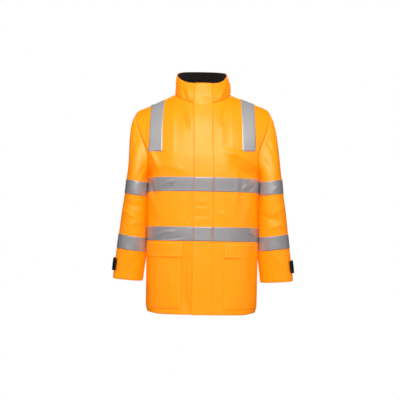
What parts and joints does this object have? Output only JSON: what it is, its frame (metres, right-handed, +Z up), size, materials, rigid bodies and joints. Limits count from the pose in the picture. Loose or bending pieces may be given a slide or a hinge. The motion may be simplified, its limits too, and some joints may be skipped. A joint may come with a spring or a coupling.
{
  "type": "hi-vis work jacket",
  "caption": "Long hi-vis orange work jacket with a stand collar, storm flap, flap pockets and grey reflective tape, filled out as worn and hollow.",
  "frame": {"origin": "midway between the shoulders, at the height of the sides of the neck, where the wearer's shoulders carry the jacket", "axes": "+X to the wearer's left, -Y to the front, +Z up along the body"},
  "size_m": [0.6554, 0.3008, 0.879],
  "materials": {
    "shell_fabric": "fluorescent orange coated weave, semi-matte",
    "reflective_tape": "silver-grey retroreflective tape, satin",
    "dark_lining": "black brushed fleece, matte",
    "zip_strip": "woven zip strip with moulded teeth",
    "cuff_tab": "black moulded tab, semi-matte"
  },
  "bodies": {
    "root": {"front_right": "shell_fabric", "front_left": "shell_fabric", "back": "shell_fabric", "sleeve_right": "shell_fabric", "sleeve_left": "shell_fabric", "collar": "shell_fabric", "storm_flap": "shell_fabric", "pocket_right": "shell_fabric", "pocket_left": "shell_fabric", "pocket_flap_right": "shell_fabric", "pocket_flap_left": "shell_fabric", "chest_tape_right": "reflective_tape", "chest_tape_flap": "reflective_tape", "chest_tape_left": "reflective_tape", "chest_tape_back": "reflective_tape", "waist_tape_right": "reflective_tape", "waist_tape_flap": "reflective_tape", "waist_tape_left": "reflective_tape", "waist_tape_back": "reflective_tape", "brace_tape_right": "reflective_tape", "brace_tape_left": "reflective_tape", "upper_sleeve_tape_right": "reflective_tape", "upper_sleeve_tape_left": "reflective_tape", "lower_sleeve_tape_right": "reflective_tape", "lower_sleeve_tape_left": "reflective_tape", "collar_lining": "dark_lining", "zip": "zip_strip", "cuff_tab_right": "cuff_tab", "cuff_tab_left": "cuff_tab"}
  },
  "joints": []
}
